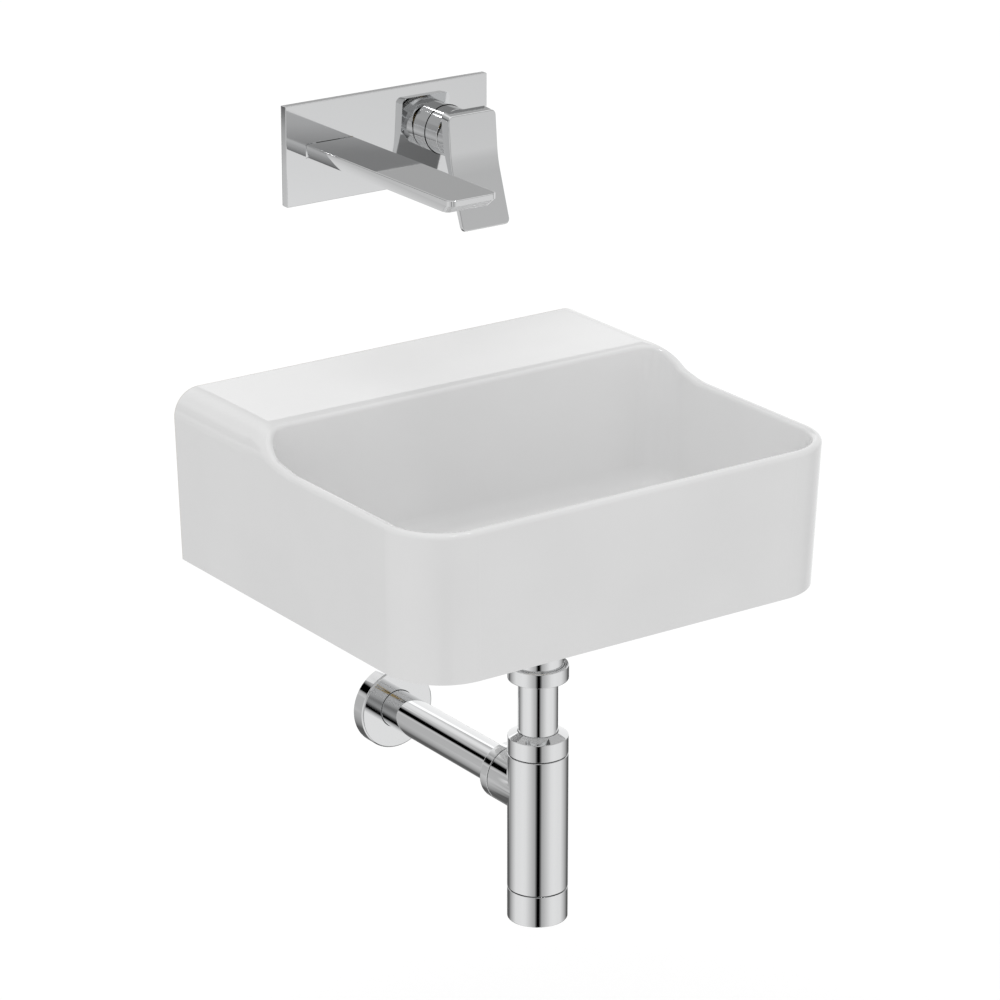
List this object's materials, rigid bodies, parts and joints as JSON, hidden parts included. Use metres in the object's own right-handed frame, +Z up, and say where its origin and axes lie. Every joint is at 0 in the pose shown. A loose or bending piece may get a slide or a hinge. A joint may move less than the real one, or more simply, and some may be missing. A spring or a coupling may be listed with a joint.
{
  "type": "wall hung basin",
  "caption": "Wall hung ceramic hand basin with raised deck and thin rim, push plug waste, bottle trap, and a concealed wall mixer with flat spout and plate lever.",
  "frame": {"origin": "on the finished wall, halfway between the two basin studs", "axes": "+X to the right along the wall as seen from the room, +Y into the wall, +Z up; the basin stands out towards -Y"},
  "size_m": [0.4, 0.4181, 0.6424],
  "materials": {
    "glazed_clay": "glossy white glaze",
    "chrome": "polished",
    "brass": "machined",
    "steel": "zinc plated",
    "black_rubber": "matte",
    "grey_foam": "matte foam",
    "white_plastic": "moulded",
    "disc_ceramic": "lapped"
  },
  "bodies": {
    "fixed": {"aerator_housing": "chrome", "aerator_insert": "white_plastic", "aerator_seal": "black_rubber", "basin_body": "glazed_clay", "bracket_screws": "steel", "cartridge_base": "white_plastic", "cartridge_housing": "white_plastic", "cartridge_nut": "brass", "cartridge_seals": "black_rubber", "cartridge_sleeve": "chrome", "click_cartridge": "white_plastic", "fixed_disc": "disc_ceramic", "nipple_seal": "black_rubber", "outlet_tube": "chrome", "plate_gasket": "grey_foam", "plug_spring": "steel", "sleeve_ring": "black_rubber", "spout": "chrome", "spout_nipple": "brass", "stud_bushes": "white_plastic", "stud_nuts": "steel", "stud_washers": "steel", "tap_plate": "chrome", "trap_arm_nut": "chrome", "trap_arm_seal": "black_rubber", "trap_bottle": "chrome", "trap_cap_ring": "white_plastic", "trap_cap_seal": "black_rubber", "trap_dip_tube": "chrome", "trap_inlet_nut": "chrome", "trap_inlet_washer": "black_rubber", "trap_top_cap": "chrome", "valve_body": "brass", "wall_bracket": "steel", "wall_studs": "steel", "waste_backnut": "brass", "waste_body": "chrome", "waste_slip_washer": "white_plastic", "waste_top_seal": "grey_foam", "waste_under_seal": "black_rubber"},
    "lever_carrier": {"cartridge_carrier": "white_plastic", "carrier_pin": "steel"},
    "lever": {"lever_handle": "chrome", "handle_screw": "steel", "cartridge_spindle": "steel"},
    "mixing_disc": {"moving_disc": "disc_ceramic"},
    "plug": {"plug_cap": "chrome", "plug_seal": "black_rubber", "plug_spindle": "white_plastic"},
    "cup_ring": {"cup_seal": "black_rubber"},
    "cup": {"trap_cup": "chrome"},
    "flange": {"wall_flange": "chrome", "flange_grip_ring": "black_rubber"}
  },
  "joints": [
    {"name": "lever_turn", "type": "hinge", "parent": "fixed", "child": "lever_carrier", "pos_m": [0.0555, -0.016, 0.24], "axis": [0, -1, 0], "range_deg": [-45, 45]},
    {"name": "lever_lift", "type": "hinge", "parent": "lever_carrier", "child": "lever", "pos_m": [0.0555, -0.016, 0.24], "axis": [-1, 0, 0], "range_deg": [0, 20]},
    {"name": "disc_slide", "type": "slide", "parent": "lever_carrier", "child": "mixing_disc", "axis": [0, 0, 1], "range_m": [-0.003, 0]},
    {"name": "plug_click", "type": "slide", "parent": "fixed", "child": "plug", "axis": [0, 0, -1], "range_m": [0, 0.008], "stiffness_N_per_m": 400, "springref_m": -0.006, "deforming": ["plug_spring"]},
    {"name": "cup_drop", "type": "slide", "parent": "fixed", "child": "cup_ring", "axis": [0, 0, -1], "range_m": [0, 0.01]},
    {"name": "cup_turn", "type": "hinge", "parent": "cup_ring", "child": "cup", "pos_m": [0, -0.216, -0.34], "axis": [0, 0, -1], "range_deg": [0, 1440]},
    {"name": "flange_slide", "type": "slide", "parent": "fixed", "child": "flange", "axis": [0, -1, 0], "range_m": [0, 0.15]}
  ],
  "couplings": [
    {"joint": "disc_slide", "follows": "lever_lift", "m_per_rad": -0.0078},
    {"joint": "cup_drop", "follows": "cup_turn", "m_per_rad": 0.00039789}
  ]
}
